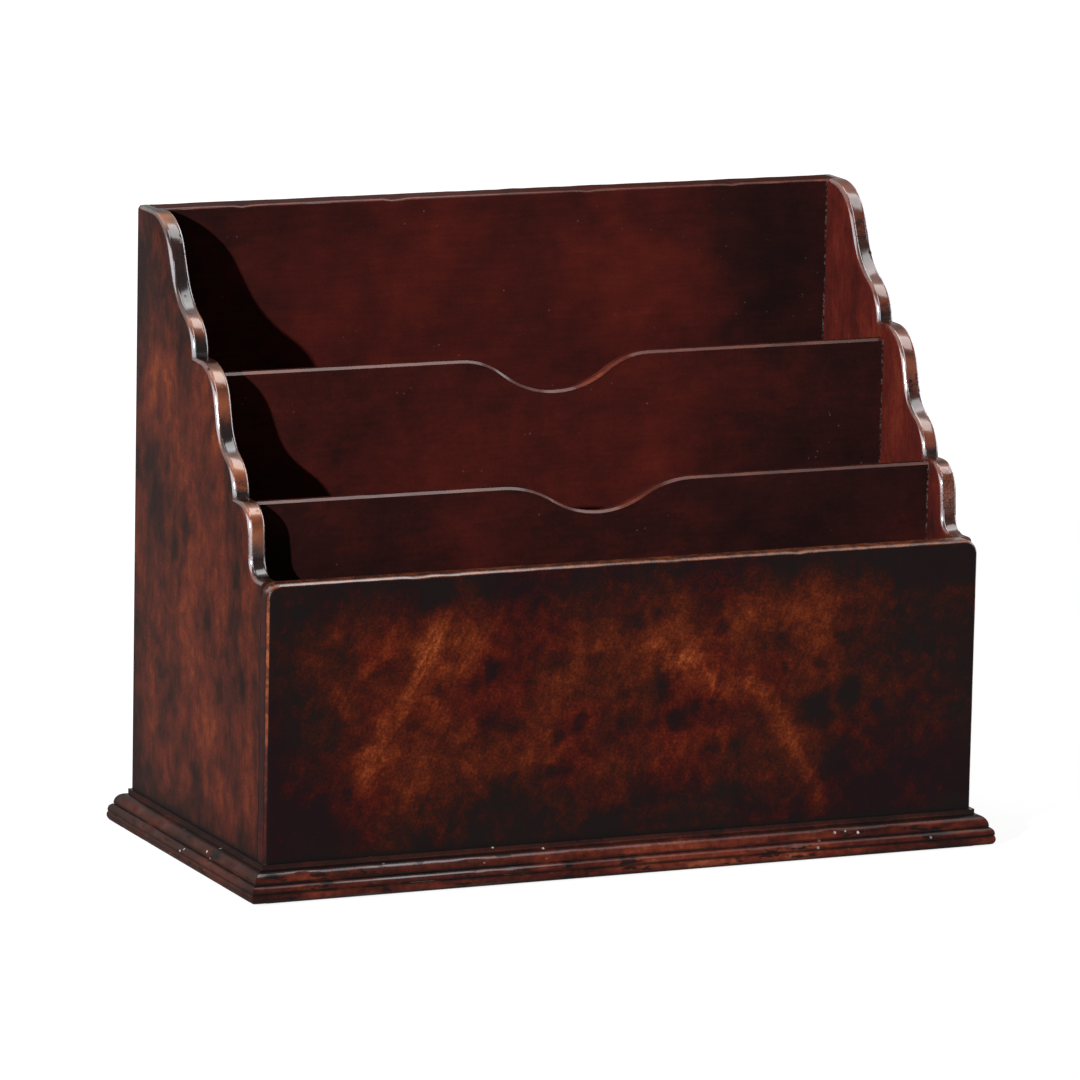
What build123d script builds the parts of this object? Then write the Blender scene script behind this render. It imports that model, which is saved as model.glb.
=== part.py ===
from build123d import *
import os
from math import atan, atan2, cos, degrees, radians, sin, sqrt

# A desk rack for letters and envelopes: two scalloped sides, a tall back, two dividers with finger
# dips and a low front board, all standing on a base board with a mitred moulding around it.
# Millimetres. X runs to the right, Y away from the front, Z up. The origin is the middle of the
# rack's footprint, on the surface that it stands on.

os.makedirs("parts", exist_ok=True)

# ---- Driving dimensions ------------------------------------------------------------------------

# Carcass, over its outer faces and up from the base board's top face
body_width = 300.0
body_depth = 140.0
back_height = 233.0
front_height = 108.0

# Thicknesses
side_thickness = 7.5
back_thickness = 12.0
front_thickness = 6.5
divider_thickness = 5.0
base_thickness = 13.5
underlay_thickness = 1.0

# Dividers: front faces measured back from the front board's face, heights from the base board
rear_divider_place = 73.5
rear_divider_height = 176.5
front_divider_place = 30.5
front_divider_height = 134.0

# Finger dips in the dividers' top edges
dip_width = 80.0
rear_dip_depth = 13.7
front_dip_depth = 11.4
dip_bowl_radius = 36.0

# Joints between the boards
housing_depth = 2.5
rabbet_depth = 3.5
end_clearance = 0.2

# Scalloped edge of a side: two notches stand behind and over the dividers and part it into three
# lobes, each a ledge, a round nose, a steep fall, a hollow and, but for the lowest, a bead
upper_notch_setback = 1.2
upper_notch_rise = 5.8
lower_notch_setback = 0.4
lower_notch_rise = 1.0
top_ledge = 14.5
middle_ledge = 6.0
bottom_ledge = 5.5
bottom_tail = 5.0
hollow_angle = 27.0

# Radii of each lobe's nose, hollow and bead as shares of its width, which is at most this share of
# its drop
top_lobe_shares = (0.47, 0.60, 0.37)
middle_lobe_shares = (0.48, 0.46, 0.44)
bottom_lobe_shares = (0.57, 0.39)
widest_lobe = 0.96

# Rounding of the worn edges
scallop_rounding = 2.2
rear_edge_rounding = 1.0
back_top_rounding = 1.5
divider_easing = 1.1
front_rounding = 2.0
front_corner_radius = 6.0

# Base moulding: a fillet, a bead and two reeds, measured outwards from the carcass
fillet_projection = 1.0
fillet_drop = 2.0
bead_shoulder = 0.3
bead_radius = 4.2
quirk_width = 0.5
quirk_height = 0.4
upper_reed_radius = 3.0
reed_groove = 0.4
lower_reed_bulge = 0.6
lower_reed_nose_drop = 1.4
lower_reed_undercut = 1.2

# Underlay, and the cut brads that it covers, which hold the base board to the sides and the back
underlay_inset = 3.0
underlay_corner_radius = 4.0
brad_length = 28.0
brad_thickness = 1.6
brad_width = 2.6
brad_point_width = 1.2
brad_head_height = 1.4
brad_head_overhang = 1.0
back_brad_inset = 45.0

# ---- Places worked out from them ---------------------------------------------------------------

base_bottom = underlay_thickness
base_top = base_bottom + base_thickness
half_width = body_width / 2
front_face = -body_depth / 2
rear_face = body_depth / 2
side_front = front_face + front_thickness
side_inner = half_width - side_thickness
back_front = rear_face - back_thickness
rear_divider_face = front_face + rear_divider_place
front_divider_face = front_face + front_divider_place
top_height = base_top + back_height
upper_notch_height = base_top + rear_divider_height + upper_notch_rise
lower_notch_height = base_top + front_divider_height + lower_notch_rise
front_end_height = base_top + front_height
upper_notch = (rear_divider_face + divider_thickness + upper_notch_setback, upper_notch_height)
lower_notch = (front_divider_face + divider_thickness + lower_notch_setback, lower_notch_height)
top_corner = (rear_face, top_height)
front_end = (side_front, front_end_height)
divider_half_length = side_inner + housing_depth - end_clearance
back_half_length = side_inner + rabbet_depth - end_clearance
bead_projection = fillet_projection + bead_shoulder + bead_radius
upper_reed_projection = bead_projection - quirk_width + upper_reed_radius
moulding_foot = upper_reed_projection - reed_groove - lower_reed_undercut
underlay_reach = moulding_foot - underlay_inset


def sine(angle):
    return sin(radians(angle))


def cosine(angle):
    return cos(radians(angle))


# ---- Brads -------------------------------------------------------------------------------------

# One in the middle of each pocket, up into the side, and three up into the back
pockets = (
    (side_front, front_divider_face),
    (front_divider_face + divider_thickness, rear_divider_face),
    (rear_divider_face + divider_thickness, back_front),
)
side_middle = half_width - side_thickness / 2
back_middle = back_front + back_thickness / 2
brad_places = [
    (side * side_middle, (pocket_front + pocket_rear) / 2)
    for side in (-1, 1)
    for pocket_front, pocket_rear in pockets
]
brad_places += [(x, back_middle) for x in (back_brad_inset - half_width, 0, half_width - back_brad_inset)]

with BuildPart() as brad:
    with BuildSketch(Plane.YZ):
        with BuildLine():
            Polyline(
                (-brad_width / 2, base_bottom),
                (brad_width / 2 + brad_head_overhang, base_bottom),
                (brad_width / 2 + brad_head_overhang, base_bottom + brad_head_height),
                (brad_width / 2, base_bottom + brad_head_height),
                (brad_point_width / 2, base_bottom + brad_length),
                (-brad_point_width / 2, base_bottom + brad_length),
                close=True,
            )
        make_face()
    extrude(amount=brad_thickness / 2, both=True)

with BuildPart() as base_brads:
    with Locations(*brad_places):
        add(brad.part)
base_brads.part.label = "base_brads"
export_step(base_brads.part, "parts/base_brads.step")

# ---- Sides -------------------------------------------------------------------------------------


def touching_fall(across, down, nose, hollow):
    """Give the length and steepness of the straight line that touches a nose and a hollow.

    The middles of their arcs lie this far across and down from each other.
    """
    reach = nose + hollow
    fall = sqrt(across**2 + down**2 - reach**2)
    return fall, degrees(atan2(down, across) + atan2(reach, fall))


def beaded_lobe(start, notch, ledge, nose_share, hollow_share, bead_share):
    """Draw a lobe's edge, forwards along its ledge and down round its bead to the notch."""
    end, end_height = notch
    drop = start[1] - end_height
    width = min(start[0] - ledge - end, widest_lobe * drop)
    nose, hollow, bead = nose_share * width, hollow_share * width, bead_share * width
    across = width + hollow * sine(hollow_angle) - bead * (1 - sine(hollow_angle))
    down = drop - nose - (hollow + bead) * cosine(hollow_angle)
    fall, fall_angle = touching_fall(across, down, nose, hollow)
    ledge_line = Line((rear_face, start[1]), (end + width, start[1]))
    nose_arc = JernArc(ledge_line @ 1, (-1, 0), nose, fall_angle)
    fall_line = PolarLine(nose_arc @ 1, fall, 180 + fall_angle)
    hollow_arc = JernArc(fall_line @ 1, fall_line % 1, hollow, hollow_angle - fall_angle)
    bead_arc = JernArc(hollow_arc @ 1, hollow_arc % 1, bead, 90 - hollow_angle)
    Line(bead_arc @ 1, (end, base_top))


def bottom_lobe(start, front, ledge, nose_share, hollow_share):
    """Draw the lowest lobe's edge, whose hollow runs out level with the front board's top."""
    end = front[0] + bottom_tail
    drop = start[1] - front[1]
    width = min(start[0] - ledge - end, widest_lobe * drop)
    nose, hollow = nose_share * width, hollow_share * width
    fall, fall_angle = touching_fall(width, drop - nose - hollow, nose, hollow)
    ledge_line = Line((rear_face, start[1]), (end + width, start[1]))
    nose_arc = JernArc(ledge_line @ 1, (-1, 0), nose, fall_angle)
    fall_line = PolarLine(nose_arc @ 1, fall, 180 + fall_angle)
    hollow_arc = JernArc(fall_line @ 1, fall_line % 1, hollow, -fall_angle)
    tail_line = Line(hollow_arc @ 1, front)
    Line(tail_line @ 1, (front[0], base_top))


def lobe_board(edge, start, end, ledge, shares):
    """Make the board behind one lobe's edge, down to the base board, with its arrises rounded."""
    with BuildPart() as board:
        with BuildSketch(Plane.YZ.offset(-half_width)):
            with BuildLine():
                edge(start, end, ledge, *shares)
                Line((end[0], base_top), (rear_face, base_top))
                Line((rear_face, base_top), (rear_face, start[1]))
            make_face()
        extrude(amount=side_thickness)
        arrises = board.faces().filter_by(Axis.X).edges()
        lobe_arrises = arrises.filter_by(
            lambda arris: arris.center().Z > end[1] - 0.1 and arris.center().Y < rear_face - 0.1
        )
        fillet(lobe_arrises, scallop_rounding)
    return board.part


with BuildPart() as left_side:
    add(lobe_board(beaded_lobe, top_corner, upper_notch, top_ledge, top_lobe_shares))
    add(lobe_board(beaded_lobe, upper_notch, lower_notch, middle_ledge, middle_lobe_shares))
    add(lobe_board(bottom_lobe, lower_notch, front_end, bottom_ledge, bottom_lobe_shares))
    rear_edges = left_side.faces().sort_by(Axis.Y)[-1].edges().filter_by(Axis.Z)
    fillet(rear_edges.sort_by(Axis.X)[0], rear_edge_rounding)
    # The rabbet for the back runs out at the top; the dividers' housings stop level with them
    with BuildSketch(Plane.XY.offset(base_top)):
        with Locations((-side_inner, back_front)):
            Rectangle(rabbet_depth, back_thickness, align=(Align.MAX, Align.MIN))
    extrude(amount=back_height, mode=Mode.SUBTRACT)
    for face, height in (
        (rear_divider_face, rear_divider_height),
        (front_divider_face, front_divider_height),
    ):
        with BuildSketch(Plane.XY.offset(base_top)):
            with Locations((-side_inner, face)):
                Rectangle(housing_depth, divider_thickness, align=(Align.MAX, Align.MIN))
        extrude(amount=height, mode=Mode.SUBTRACT)
    add(base_brads.part, mode=Mode.SUBTRACT)
left_side.part.label = "left_side"
export_step(left_side.part, "parts/left_side.step")

with BuildPart() as right_side:
    mirror(left_side.part, about=Plane.YZ)
right_side.part.label = "right_side"
export_step(right_side.part, "parts/right_side.step")

# ---- Back, front and dividers ------------------------------------------------------------------

with BuildPart() as back_panel:
    with BuildSketch(Plane.XY.offset(base_top)):
        with Locations((0, back_front)):
            Rectangle(2 * back_half_length, back_thickness, align=(Align.CENTER, Align.MIN))
    extrude(amount=back_height)
    top_arrises = back_panel.faces().sort_by(Axis.Z)[-1].edges().filter_by(Axis.X)
    fillet(top_arrises, back_top_rounding)
    add(base_brads.part, mode=Mode.SUBTRACT)
back_panel.part.label = "back_panel"
export_step(back_panel.part, "parts/back_panel.step")

with BuildPart() as front_board:
    with BuildSketch(Plane.XZ.offset(-front_face)):
        with Locations((0, base_top)):
            outline = Rectangle(body_width, front_height, align=(Align.CENTER, Align.MIN))
        fillet(outline.vertices().group_by(Axis.Y)[-1], front_corner_radius)
    extrude(amount=-front_thickness)
    outer_face = front_board.faces().filter_by(Axis.Y).sort_by(Axis.Y)[0]
    fillet(outer_face.edges().filter_by(lambda edge: edge.center().Z > base_top), front_rounding)
front_board.part.label = "front_board"
export_step(front_board.part, "parts/front_board.step")


def dip_edge(height, depth):
    """Draw a divider's top edge from left to right, with the finger dip in its middle."""
    half_dip = dip_width / 2
    dip_angle = 2 * degrees(atan(depth / half_dip))
    shoulder_radius = half_dip / sine(dip_angle) - dip_bowl_radius
    left_line = Line((-divider_half_length, height), (-half_dip, height))
    left_shoulder = JernArc(left_line @ 1, (1, 0), shoulder_radius, -dip_angle)
    bowl = JernArc(left_shoulder @ 1, left_shoulder % 1, dip_bowl_radius, 2 * dip_angle)
    right_shoulder = JernArc(bowl @ 1, bowl % 1, shoulder_radius, -dip_angle)
    Line(right_shoulder @ 1, (divider_half_length, height))


for name, face, height, dip_depth in (
    ("rear_divider", rear_divider_face, rear_divider_height, rear_dip_depth),
    ("front_divider", front_divider_face, front_divider_height, front_dip_depth),
):
    with BuildPart() as divider:
        with BuildSketch(Plane.XZ.offset(-face)):
            with BuildLine():
                dip_edge(base_top + height, dip_depth)
                Polyline(
                    (divider_half_length, base_top + height),
                    (divider_half_length, base_top),
                    (-divider_half_length, base_top),
                    (-divider_half_length, base_top + height),
                )
            make_face()
        extrude(amount=-divider_thickness)
        divider_edges = divider.faces().filter_by(Axis.Y).edges()
        # The upright end edges have their middles half way up, and the top edge lies above that
        middle_height = base_top + height / 2
        chamfer(divider_edges.filter_by(lambda edge: edge.center().Z > middle_height + 1), divider_easing)
    divider.part.label = name
    export_step(divider.part, f"parts/{name}.step")

# ---- Base --------------------------------------------------------------------------------------

with BuildPart() as base_board:
    with BuildSketch(Plane.XY.offset(base_bottom)):
        Rectangle(body_width, body_depth)
    extrude(amount=base_thickness)
    add(base_brads.part, mode=Mode.SUBTRACT)
base_board.part.label = "base_board"
export_step(base_board.part, "parts/base_board.step")


def moulding_outline():
    """Draw the moulding's section, outwards from the carcass and down from the base board's top."""
    flat = Polyline(
        (0, 0),
        (fillet_projection, 0),
        (fillet_projection, -fillet_drop),
        (fillet_projection + bead_shoulder, -fillet_drop),
    )
    bead = JernArc(flat @ 1, (1, 0), bead_radius, -90)
    quirk_corner = bead @ 1 - Vector(0, quirk_height)
    quirk = Polyline(bead @ 1, quirk_corner, quirk_corner - Vector(quirk_width, 0))
    upper_reed = JernArc(quirk @ 1, (1, 0), upper_reed_radius, -90)
    groove = Line(upper_reed @ 1, upper_reed @ 1 - Vector(reed_groove, 0))
    nose = groove @ 1 + Vector(lower_reed_bulge, -lower_reed_nose_drop)
    lower_reed = ThreePointArc(groove @ 1, nose, (moulding_foot, -base_thickness))
    Polyline(lower_reed @ 1, (0, -base_thickness), (0, 0))


for name, turn, run, distance in (
    ("front_base_moulding", 0, body_width, body_depth / 2),
    ("right_base_moulding", 90, body_depth, body_width / 2),
    ("rear_base_moulding", 180, body_width, body_depth / 2),
    ("left_base_moulding", 270, body_depth, body_width / 2),
):
    outward = Vector(0, -1, 0).rotate(Axis.Z, turn)
    along = Vector(-1, 0, 0).rotate(Axis.Z, turn)
    middle = outward * distance + Vector(0, 0, base_top)
    with BuildPart() as moulding:
        with BuildSketch(Plane(middle, x_dir=outward, z_dir=along)):
            with BuildLine():
                moulding_outline()
            make_face()
        extrude(amount=run / 2 + base_thickness, both=True)
        for end in (-1, 1):
            mitre = Plane(middle + along * (end * run / 2), z_dir=outward - along * end)
            split(bisect_by=mitre, keep=Keep.TOP)
    moulding.part.label = name
    export_step(moulding.part, f"parts/{name}.step")

with BuildPart() as baize_underlay:
    with BuildSketch(Plane.XY):
        RectangleRounded(
            body_width + 2 * underlay_reach,
            body_depth + 2 * underlay_reach,
            underlay_corner_radius,
        )
    extrude(amount=underlay_thickness)
baize_underlay.part.label = "baize_underlay"
export_step(baize_underlay.part, "parts/baize_underlay.step")
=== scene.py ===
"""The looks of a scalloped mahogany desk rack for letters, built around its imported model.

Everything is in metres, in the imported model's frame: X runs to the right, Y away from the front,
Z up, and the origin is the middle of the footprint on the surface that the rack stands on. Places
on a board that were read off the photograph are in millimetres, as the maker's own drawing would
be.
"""

from __future__ import annotations

import logging
import math
import random
from collections.abc import Callable, Iterable, Sequence
from dataclasses import dataclass
from enum import Enum
from functools import reduce

import bpy
from mathutils import Matrix, Vector

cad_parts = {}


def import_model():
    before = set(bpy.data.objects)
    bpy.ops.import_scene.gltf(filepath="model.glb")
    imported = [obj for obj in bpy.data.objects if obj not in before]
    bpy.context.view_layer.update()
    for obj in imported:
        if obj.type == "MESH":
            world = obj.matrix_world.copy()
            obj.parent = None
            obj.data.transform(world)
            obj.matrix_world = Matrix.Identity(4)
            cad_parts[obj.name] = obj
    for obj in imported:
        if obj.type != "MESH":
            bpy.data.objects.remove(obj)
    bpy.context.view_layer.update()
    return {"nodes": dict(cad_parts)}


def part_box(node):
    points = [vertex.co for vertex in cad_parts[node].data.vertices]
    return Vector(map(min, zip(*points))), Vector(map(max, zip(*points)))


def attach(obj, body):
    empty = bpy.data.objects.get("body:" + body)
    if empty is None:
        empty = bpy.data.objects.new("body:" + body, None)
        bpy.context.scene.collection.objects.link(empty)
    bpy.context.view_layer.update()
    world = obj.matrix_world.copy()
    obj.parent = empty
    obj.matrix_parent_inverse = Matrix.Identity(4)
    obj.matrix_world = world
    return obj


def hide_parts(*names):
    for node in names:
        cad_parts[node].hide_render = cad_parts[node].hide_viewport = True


log = logging.getLogger("letter_rack")

Point = tuple[float, float, float]
Colour = tuple[float, float, float]
Stops = Sequence[tuple[float, Colour]]
Nicks = tuple[tuple[float, float, float], ...]
Chooser = Callable[[Vector], bool]

MM = 0.001
SKY: Colour = (0.88, 0.93, 1.0)
WAX: Colour = (0.0065, 0.0055, 0.0055)


class Slot(Enum):
    """The record's material slots."""

    SIDES = "side_wood"
    INNER = "inner_wood"
    FRONT = "front_burl"
    MOULDING = "moulding_wood"
    BRADS = "brad_iron"
    BAIZE = "green_baize"


# ---- Shader arithmetic -------------------------------------------------------------------------


class Wire:
    """The output of a shader node, on which arithmetic can be written."""

    def __init__(self, bench: PaintBench, socket: bpy.types.NodeSocket) -> None:
        """Wrap an output socket in a bench's node tree."""
        self.bench = bench
        self.socket = socket

    def _maths(self, operation: str, *values: Wire | float) -> Wire:
        """Add a Math node with these inputs, in order."""
        return self.bench.node("ShaderNodeMath", {"operation": operation}, dict(enumerate(values)))

    def __add__(self, other: Wire | float) -> Wire:
        """Add."""
        return self._maths("ADD", self, other)

    __radd__ = __add__

    def __sub__(self, other: Wire | float) -> Wire:
        """Subtract."""
        return self._maths("SUBTRACT", self, other)

    def __rsub__(self, other: float) -> Wire:
        """Subtract from a number."""
        return self._maths("SUBTRACT", other, self)

    def __mul__(self, other: Wire | float) -> Wire:
        """Multiply."""
        return self._maths("MULTIPLY", self, other)

    __rmul__ = __mul__

    def __pow__(self, other: float) -> Wire:
        """Raise to a power."""
        return self._maths("POWER", self, other)

    def __abs__(self) -> Wire:
        """Drop the sign."""
        return self._maths("ABSOLUTE", self)

    def at_most(self, other: Wire | float) -> Wire:
        """Take the smaller value."""
        return self._maths("MINIMUM", self, other)

    def at_least(self, other: Wire | float) -> Wire:
        """Take the larger value."""
        return self._maths("MAXIMUM", self, other)

    def rising(self, low: float, high: float) -> Wire:
        """Rise smoothly between two values, or fall, where low is above high.

        Args:
            low: The value at which the result is 0.
            high: The value at which it is 1.

        Returns:
            The result, from 0 to 1.
        """
        settings = {"interpolation_type": "SMOOTHSTEP"}
        if low < high:
            return self.bench.node("ShaderNodeMapRange", settings, {0: self, 1: low, 2: high})
        return 1 - self.bench.node("ShaderNodeMapRange", settings, {0: self, 1: high, 2: low})


class PaintBench:
    """A material's or a world's node tree, to which the finishes add nodes."""

    def __init__(self, owner: bpy.types.Material | bpy.types.World) -> None:
        """Clear an owner's nodes.

        Args:
            owner: The material or the world.
        """
        self.owner = owner
        self.owner.use_nodes = True
        self.tree = self.owner.node_tree
        self.tree.nodes.clear()

    @classmethod
    def named(cls, name: str) -> PaintBench:
        """Start a new material."""
        return cls(bpy.data.materials.new(name))

    def node(
        self,
        kind: str,
        settings: dict[str, object] | None = None,
        values: dict[str | int, object] | None = None,
        output: str | int = 0,
    ) -> Wire:
        """Add a node.

        Args:
            kind: The node's type.
            settings: Its attributes, and the stops of a ramp as pairs of a place and a colour.
            values: Its inputs by name or number, as wires, numbers, vectors or colours.
            output: The name or number of the output to return.

        Returns:
            That output.
        """
        new = self.tree.nodes.new(kind)
        for key, value in (settings or {}).items():
            if key == "stops":
                self._set_stops(new.color_ramp.elements, value)
            else:
                setattr(new, key, value)
        for key, value in (values or {}).items():
            if isinstance(value, Wire):
                self.tree.links.new(value.socket, new.inputs[key])
            else:
                new.inputs[key].default_value = value
        return Wire(self, new.outputs[output] if new.outputs else None)

    @staticmethod
    def _set_stops(elements: bpy.types.ColorRampElements, stops: Stops) -> None:
        """Give a ramp its stops.

        Args:
            elements: The ramp's elements.
            stops: Pairs of a place and a colour, in order.
        """
        while len(elements) < len(stops):
            elements.new(1.0)
        for element, (place, colour) in zip(elements, stops):
            element.position = place
            element.color = (*colour, 1.0)

    def place(self) -> Wire:
        """Give the point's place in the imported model's frame."""
        return self.node("ShaderNodeTexCoord", output="Object")

    def facing(self) -> tuple[Wire, Wire, Wire]:
        """Give the surface's direction on the object, as three parts without their signs."""
        normal = self.node("ShaderNodeTexCoord", output="Normal")
        return tuple(abs(part) for part in self.parts(normal))

    def parts(self, vector: Wire) -> tuple[Wire, Wire, Wire]:
        """Take a vector apart into its X, Y and Z."""
        apart = self.node("ShaderNodeSeparateXYZ", values={0: vector}).socket.node
        return tuple(Wire(self, socket) for socket in apart.outputs)

    def vector(self, operation: str, *values: object, output: int = 0) -> Wire:
        """Add a Vector Math node, whose output 0 is a vector and 1 a number."""
        settings = {"operation": operation}
        return self.node("ShaderNodeVectorMath", settings, dict(enumerate(values)), output)

    def scaled(self, vector: Wire | Point, amount: Wire | float) -> Wire:
        """Make a vector longer or shorter."""
        values = {0: vector, "Scale": amount}
        return self.node("ShaderNodeVectorMath", {"operation": "SCALE"}, values)

    def stretched(self, vector: Wire, x: float, y: float, z: float) -> Wire:
        """Scale a vector's parts, so that a pattern runs longer where its scale is smaller."""
        return self.vector("MULTIPLY", vector, (x, y, z))

    def turned(self, vector: Wire, lean: float) -> Wire:
        """Turn places about Y, so that an upright pattern leans by this many degrees."""
        values = {0: vector, "Rotation": (0, math.radians(lean), 0)}
        return self.node("ShaderNodeMapping", {"vector_type": "POINT"}, values)

    def noise(self, place: Wire, scale: float, detail: float = 4.0, roughness: float = 0.5) -> Wire:
        """Read a noise, about 0.5, of so many grains to the metre."""
        values = {"Vector": place, "Scale": scale, "Detail": detail, "Roughness": roughness}
        return self.node("ShaderNodeTexNoise", values=values)

    def swing(self, place: Wire, scale: float, amount: float, detail: float = 4.0) -> Wire:
        """Give a noise that swings about 0, mostly by less than this amount."""
        return (6 * amount) * (self.noise(place, scale, detail, 0.6) - 0.5)

    def spots(self, place: Wire, scale: float) -> Wire:
        """Give the distance to the nearest of a scatter of points, in their own spacing."""
        return self.node("ShaderNodeTexVoronoi", values={"Vector": place, "Scale": scale})

    def cracks(self, place: Wire, scale: float) -> Wire:
        """Draw thin lines that part irregular cells."""
        settings, values = {"feature": "DISTANCE_TO_EDGE"}, {"Vector": place, "Scale": scale}
        return self.node("ShaderNodeTexVoronoi", settings, values).rising(0.07, 0.02)

    def warped(self, place: Wire, scale: float, amount: float) -> Wire:
        """Push places about by a noise.

        Args:
            place: The places.
            scale: The noise's grains to the metre.
            amount: How far it pushes, in metres.

        Returns:
            The pushed places.
        """
        values = {"Vector": place, "Scale": scale, "Detail": 3.0}
        noise = self.node("ShaderNodeTexNoise", values=values, output=1)
        push = self.vector("SUBTRACT", noise, (0.5, 0.5, 0.5))
        return self.vector("ADD", place, self.scaled(push, 2 * amount))

    def ramp(self, value: Wire, stops: Stops) -> Wire:
        """Turn a value into a colour by stops."""
        return self.node("ShaderNodeValToRGB", {"stops": stops}, {0: value})

    def mixed(self, share: Wire | float, first: Wire | Colour, second: Wire | Colour) -> Wire:
        """Mix two colours by the second one's share."""
        first, second = (c if isinstance(c, Wire) else (*c, 1.0) for c in (first, second))
        return self.node("ShaderNodeMix", {"data_type": "RGBA"}, {0: share, 6: first, 7: second}, 2)

    def near(self, place: Wire, middle: Point, radius: float) -> Wire:
        """Fade from 1 at a point to 0 at a radius from it."""
        return self.vector("DISTANCE", place, middle, output=1).rising(radius, 0.0)

    @staticmethod
    def strongest(wires: Iterable[Wire]) -> Wire:
        """Take the largest of several values."""
        return reduce(Wire.at_least, wires)

    def patched(self, flat: Wire, patches: Iterable[Patch], axis: int) -> Wire:
        """Draw several patches at once.

        Args:
            flat: Places, flattened onto the board.
            patches: The patches.
            axis: The axis that they are measured across, 0 for X and 1 for Y.

        Returns:
            How strong they are, from 0 to 1.
        """
        return self.strongest(
            patch.strength * self.near(flat, patch.middle(axis), patch.radius * MM)
            for patch in patches
        )

    def waxed_foot(self, colour: Wire, z: Wire) -> Wire:
        """Draw the black wax that has gathered where a board meets the moulding's top."""
        return self.mixed(0.85 * z.rising(17.5 * MM, 14.5 * MM), colour, WAX)

    def bump(self, height: Wire, depth: float) -> Wire:
        """Turn a height from 0 to 1 into a relief of this depth, in metres."""
        values = {"Height": height, "Strength": 1.0, "Distance": depth}
        return self.node("ShaderNodeBump", values=values)

    def surface(self, varied: dict[str, Wire], fixed: dict[str, object]) -> bpy.types.Material:
        """Finish the material with one surface shader.

        Args:
            varied: The inputs that change over the surface.
            fixed: The inputs that don't.

        Returns:
            The material.
        """
        shader = self.node("ShaderNodeBsdfPrincipled", values={**fixed, **varied})
        self.node("ShaderNodeOutputMaterial", values={"Surface": shader})
        return self.owner


# ---- Finishes ----------------------------------------------------------------------------------


@dataclass(frozen=True)
class Polish:
    """The old polish over the wood: dull on the flats, thick and bright on worn arrises."""

    roughness: float = 0.30
    specular: float = 0.08
    coat_roughness: float = 0.15
    coat_ior: float = 2.0

    def lay(self, bench: PaintBench, colour: Wire, worn: Wire, relief: Wire) -> bpy.types.Material:
        """Put the polish over a colour.

        Args:
            bench: The material's paint bench.
            colour: The wood's colour.
            worn: Where the arrises are rubbed bright, from 0 to 1.
            relief: The surface's bumped direction.

        Returns:
            The material.
        """
        varied = {"Base Color": colour, "Coat Weight": worn, "Normal": relief}
        fixed = {
            "Roughness": self.roughness,
            "Specular IOR Level": self.specular,
            "Coat Roughness": self.coat_roughness,
            "Coat IOR": self.coat_ior,
        }
        return bench.surface(varied, fixed)


@dataclass(frozen=True)
class Patch:
    """A round patch of figure or wear on a flat board, in millimetres.

    Across is X on the front board and Y on a side; up is Z.
    """

    across: float
    up: float
    radius: float
    strength: float

    @classmethod
    def rows(cls, *rows: tuple[float, float, float, float]) -> tuple[Patch, ...]:
        """Write down several patches, each as across, up, radius and strength."""
        return tuple(cls(*row) for row in rows)

    def middle(self, axis: int) -> Point:
        """Give its middle, in metres, where across runs along X for axis 0 and Y for 1."""
        x, y = (self.across, 0.0) if axis == 0 else (0.0, self.across)
        return x * MM, y * MM, self.up * MM


@dataclass(frozen=True)
class Streak:
    """A bright band of figure between two points of the front board, as X and Z in millimetres."""

    start: tuple[float, float]
    end: tuple[float, float]
    width: float
    strength: float


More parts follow.
